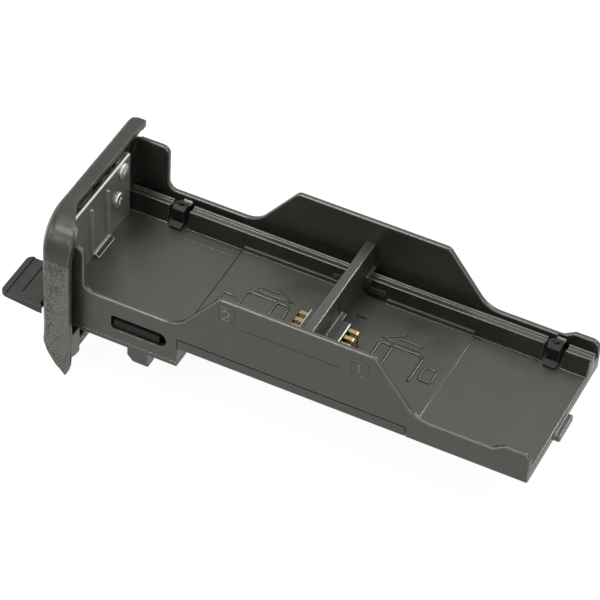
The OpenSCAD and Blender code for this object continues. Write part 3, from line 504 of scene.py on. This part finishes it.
def round_corner(bm, rounds, sharp):
    """Evens out the cap's upper edge and front corner without shrinking them."""
    bm.normal_update()
    bm.verts.index_update()
    held = sharp_verts(bm, sharp)
    free, ease = [], []
    for v in bm.verts:
        c, n = v.co / MM, v.normal
        near = min(1.0, max(0.0, (c.z - 13) / 5)) * min(1.0, max(0.0, (20 - c.y) / 4))
        flat = c.x < OUTER_X + 0.1 and n.x < -0.999
        if near > 0 and v not in held and not flat and min(n.x, n.y, -n.z) < -0.15:
            free.append(v)
            ease.append(near)
    rows = np.array([v.index for v in free])
    ease = np.array(ease)[:, None]
    place = np.array([v.co for v in bm.verts])
    ends = np.array([[v.index for v in e.verts] for e in bm.edges])
    start, end = np.concatenate([ends, ends[:, ::-1]]).T
    count = np.bincount(start, minlength=len(place))
    for step in range(2 * rounds):
        mean = np.stack([np.bincount(start, place[end, k], len(place)) / count for k in range(3)], axis=1)
        place[rows] += (mean - place)[rows] * ease * (0.5 if step % 2 == 0 else -0.53)
    for v in free:
        v.co = place[v.index]


def off_the_joint(e):
    """Not the joint between the smooth cap and its rubber, nor the seam under the cap."""
    joint = all(abs(v.co.z - 19.7 * MM) < 0.3 * MM for v in e.verts)
    seam = all(-72.2 * MM < v.co.x < -71.6 * MM and -13.3 * MM < v.co.z < -12.5 * MM for v in e.verts)
    return not joint and not seam


def within_cad(bm):
    """Keeps the vertices inside the solids' box."""
    for v in bm.verts:
        v.co = [min(max(c, a), b) for c, a, b in zip(v.co, *cad_box)]


def full_wing(bm):
    """Fills out the lower outline of the wing, most of all just above its tip."""
    for v in bm.verts:
        x, z = v.co.x / MM, v.co.z / MM
        if z < WING_Z:
            along = (WING_Z - z) / 15.5
            rise = math.sin(math.pi * along ** 1.7)
            v.co.x -= 1.1 * MM * max(0.0, rise) * min(1.0, max(0.0, (WING_X - x) / 3))


def refill_outer_face(bm):
    """Fills the cap's flat outer face afresh from its outline, without thin triangles."""
    flat = [f for f in bm.faces if all(abs(v.co.x - OUTER_X * MM) < 0.002 * MM for v in f.verts)]
    inside = set(flat)
    rim = [e for e in bm.edges if 0 < sum(f in inside for f in e.link_faces) < len(e.link_faces)]
    bmesh.ops.delete(bm, geom=flat, context="FACES")
    bmesh.ops.triangle_fill(bm, use_beauty=True, edges=rim, normal=(-1, 0, 0))


def cap_shell():
    bm = solid_mesh("end_cap_shell")
    bevelled(bm, 0.35, off_the_joint, sharp=58)
    refined(bm, 1.0 * MM, 9)
    round_corner(bm, 40, 56)
    full_wing(bm)
    within_cad(bm)
    refill_outer_face(bm)
    finished("end_cap_shell_look", bm, "cap_plastic", "tray", 50, replaced="end_cap_shell")


def pebble_centres(points, spacing):
    """Centres of the pebbles, spread evenly over the points."""
    cells, centres = {}, []
    for i in np.random.default_rng(7).permutation(len(points)):
        p = points[i]
        key = tuple(int(math.floor(c / spacing)) for c in p)
        near = (q for dx in (-1, 0, 1) for dy in (-1, 0, 1) for dz in (-1, 0, 1)
                for q in cells.get((key[0] + dx, key[1] + dy, key[2] + dz), ()))
        if all((p - q).length >= spacing for q in near):
            cells.setdefault(key, []).append(p)
            centres.append(p)
    return centres


def cap_rubber():
    bm = solid_mesh("end_cap_rubber")
    bevelled(bm, 0.12, off_the_joint, sharp=58)
    refined(bm, 0.3 * MM, 10)
    relaxed(bm, 6, 56)
    bm.normal_update()
    # The pebble attribute paints shade into the gaps and a highlight on the pebble tops.
    layer = bm.verts.layers.float.new("pebble")
    out = [v for v in bm.verts if outer_skin(v) and (v.normal.y < -0.25 or v.normal.x < -0.4)]
    centres = pebble_centres([v.co.copy() for v in out], 0.8 * MM)
    near = kdtree.KDTree(len(centres))
    for i, c in enumerate(centres):
        near.insert(c, i)
    near.balance()
    lift = np.random.default_rng(8).uniform(0.55, 1.0, len(centres))
    moves = []
    for v in out:
        _, i, d = near.find(v.co)
        top = max(0.0, 1 - (d / (0.46 * MM)) ** 2) * lift[i]
        edge = min(1.0, max(0.0, (-65.4 * MM - v.co.x) / (0.6 * MM)))
        v[layer] = top * edge + 0.3 * (1 - edge)
        moves.append((v, v.normal * 0.11 * MM * (1 - top) * edge))
    for v, move in moves:
        v.co -= move
    full_wing(bm)
    within_cad(bm)
    for f in bm.faces:
        f.material_index = 0
    finished("end_cap_rubber_look", bm, "rubber", "tray", 60, replaced="end_cap_rubber")


def cap_seam():
    """Strip in the seam between the cap's plate and its lower rim."""
    bm = bmesh.new()
    strip = [(-72.0, -12.6), (-71.99, -12.74), (-71.81, -13.12), (-71.2, -13.12), (-71.2, -12.6)]
    prism(bm, strip, FRONT_Y, 20.0, lambda u, v, h: (u, h, v))
    finished("cap_seam", bm, "cap_plastic", "tray")


cap_shell()
cap_rubber()
cap_seam()


# Raised marks and small mouldings

def pictogram(bm, side):
    """Pack outline, its terminal and a half arrow that points to the contacts."""
    place = floor_at(FLOOR_Z)

    def s(path):
        return [(side * u, v) for u, v in path]

    bead(bm, s(rounded([(13.6, -5.5, 0), (13.6, 1.4, 1.2), (17.5, 1.4, 1.2), (17.5, -6.3, 0)], closed=False)),
         0.95, 0.42, place)
    bead(bm, s(rounded([(17.6, 1.5, 0), (26.7, 1.6, 1.8), (26.5, -8.8, 0)], closed=False)), 0.95, 0.42, place)
    bead(bm, s(rounded([(28.5, -1.9, 0.8), (32.1, -1.9, 0.8), (32.1, -6.9, 0.8), (28.5, -6.9, 0.8)])),
         0.8, 0.38, place, closed=True)
    bead(bm, s([(13.9, 3.2), (19, 6.5), (18.6, 4.7), (24.6, 4.7), (24.6, 2.9), (16.6, 2.9)]),
         0.7, 0.36, place, closed=True)


def marks():
    bm = bmesh.new()
    pictogram(bm, 1)
    pictogram(bm, -1)
    for u0, u1, v0, v1 in ((-22.8, -18.0, 16.5, 21.9), (16.2, 21.2, 15.8, 20.8)):
        frame_line = rounded([(u0, v0, 0.6), (u1, v0, 0.6), (u1, v1, 0.6), (u0, v1, 0.6)])
        bead(bm, frame_line, 0.35, 0.16, front, closed=True)
    finished("raised_marks", bm, "mark", "tray", 60)
    bm = bmesh.new()
    one = [(0.0, 0.76), (0.5, 1.0), (0.5, 0.0)]
    two = [(0.0, 0.76), (0.1, 0.92), (0.33, 1.0), (0.65, 1.0), (0.9, 0.9), (1.0, 0.73), (0.93, 0.55),
           (0.6, 0.32), (0.05, 0.02), (1.0, 0.02)]
    bead(bm, [(-21.5 + 2.1 * u, 17.6 + 3.3 * v) for u, v in two], 0.65, 0.25, front)
    bead(bm, [(18.1 + 1.2 * u, 16.9 + 2.9 * v) for u, v in one], 0.6, 0.25, front)
    finished("raised_digits", bm, "digit_painted_highlight", "tray", 60)


def rail_mouldings():
    """Skirt along the foot of the rail, pill boss and small gussets beside the divider."""
    bm = bmesh.new()
    skirt = [(15.35, 3.3), (15.35, 3.75), (15.75, 4.85), (17.0, 4.85), (16.3, 3.3)]
    for x0, x1 in ((8.9, 35.0), (-34.8, -3.4)):
        prism(bm, skirt, x0, x1, lambda u, v, h: (h, u, v))
    for x in (5.5, -5.5):
        r, half = 0.75, 1.85
        pill = [(x + half * (1 if math.cos(t) > 0 else -1) + r * math.cos(t), 2.6 + r * math.sin(t))
                for t in (math.pi * (k + 0.5) / 10 for k in range(20))]
        prism(bm, pill, -0.2, 0.4, rail_face)
    for side in (1, -1):
        prism(bm, [(side * 2.4, 17.9), (side * 4.2, 17.9), (side * 2.4, 16.6)], 3.3, 8.35, floor_at(0))
    bevelled(bm, 0.07)
    finished("rail_mouldings", bm, "tray_plastic", "tray")
    bm = bmesh.new()
    for x0, x1, y, z in ((-52.6, -35.2, 15.75, 3.45), (-34.8, -3.4, 15.3, 3.6), (8.9, 34.8, 15.3, 3.6),
                         (35.2, 54.2, 15.75, 3.45), (-51.4, -36.6, 12.2, 3.2), (37.8, 52.6, 12.2, 3.2)):
        bead(bm, [(x0, y), (x1, y)], 0.36, 0.2, floor_at(z))
    finished("rail_beads", bm, "mark", "tray", 60)


marks()
rail_mouldings()


# Floor, light and camera

def seen_ray(nt):
    """1 for rays that show the background itself: from the camera, in a mirror or through glass."""
    path = nt.nodes.new("ShaderNodeLightPath")
    seen = math_node(nt, "MAXIMUM", path.outputs["Is Camera Ray"], path.outputs["Is Glossy Ray"])
    return math_node(nt, "MAXIMUM", seen, path.outputs["Is Transmission Ray"])


def stage_floor():
    mesh = bpy.data.meshes.new("floor")
    s, z = 3.0, cad_box[0].z
    mesh.from_pydata([(-s, -s, z), (s, -s, z), (s, s, z), (-s, s, z)], [], [(0, 1, 2, 3)])
    obj = bpy.data.objects.new("floor", mesh)
    scene.collection.objects.link(obj)
    m = bpy.data.materials.new("floor")
    m.use_nodes = True
    nt = m.node_tree
    nt.nodes.clear()
    out = nt.nodes.new("ShaderNodeOutputMaterial")

    def lit(albedo, glow):
        d = nt.nodes.new("ShaderNodeBsdfDiffuse")
        d.inputs["Color"].default_value = (albedo, albedo, albedo, 1)
        e = nt.nodes.new("ShaderNodeEmission")
        e.inputs["Strength"].default_value = glow
        add = nt.nodes.new("ShaderNodeAddShader")
        nt.links.new(d.outputs[0], add.inputs[0])
        nt.links.new(e.outputs[0], add.inputs[1])
        return add.outputs[0]

    mix = nt.nodes.new("ShaderNodeMixShader")
    nt.links.new(seen_ray(nt), mix.inputs["Fac"])
    nt.links.new(lit(0.8, 0.3), mix.inputs[1])
    nt.links.new(lit(0.14, 0.94), mix.inputs[2])
    nt.links.new(mix.outputs[0], out.inputs["Surface"])
    mesh.materials.append(m)


def studio():
    world = bpy.data.worlds.new("studio")
    scene.world = world
    world.use_nodes = True
    nt = world.node_tree
    nt.nodes.clear()
    out = nt.nodes.new("ShaderNodeOutputWorld")
    mix = nt.nodes.new("ShaderNodeMixShader")
    nt.links.new(seen_ray(nt), mix.inputs["Fac"])
    for socket, strength in ((1, 0.15), (2, 1.0)):
        b = nt.nodes.new("ShaderNodeBackground")
        b.inputs["Color"].default_value = (1, 1, 1, 1)
        b.inputs["Strength"].default_value = strength
        nt.links.new(b.outputs[0], mix.inputs[socket])
    nt.links.new(mix.outputs[0], out.inputs["Surface"])


def lamp(name, towards, distance, size, energy):
    """Soft lamp of size (across, high) in the direction towards, aimed at the tray."""
    d = Vector(towards).normalized()
    light = bpy.data.lights.new(name, "AREA")
    light.shape = "RECTANGLE"
    light.size, light.size_y = size
    light.energy = energy
    obj = bpy.data.objects.new(name, light)
    scene.collection.objects.link(obj)
    obj.location = d * distance
    obj.rotation_euler = d.to_track_quat("Z", "Y").to_euler()


def camera():
    cam = bpy.data.cameras.new("camera")
    cam.lens = 185.655
    cam.sensor_width = 36
    cam.clip_start = 0.01
    obj = bpy.data.objects.new("camera", cam)
    scene.collection.objects.link(obj)
    rows = [[0.89680892, -0.33581055, 0.28803651], [0.43990039, 0.6074772, -0.66140691],
            [0.04713181, 0.71986299, 0.69251417]]
    obj.matrix_world = Matrix.Translation((0.231105, -0.553871, 0.589079)) @ Matrix(rows).to_4x4()
    scene.camera = obj


stage_floor()
studio()
lamp("top", (0.0, 0.15, 1.0), 1.0, (1.2, 1.0), 7.9)
lamp("back_right", (0.456, 0.661, 0.596), 1.0, (0.22, 0.22), 2.4)
lamp("right", (0.76, -0.56, 0.31), 1.0, (0.12, 0.12), 1.5)
lamp("left", (-0.85, -0.3, 0.45), 0.9, (0.35, 0.35), 1.6)
lamp("upper_left", (-0.36, -0.26, 0.88), 1.0, (0.2, 0.2), 2.2)
lamp("front_left", (-0.288, -0.693, 0.661), 1.0, (0.15, 0.15), 1.6)
camera()
scene.view_settings.view_transform = "Standard"
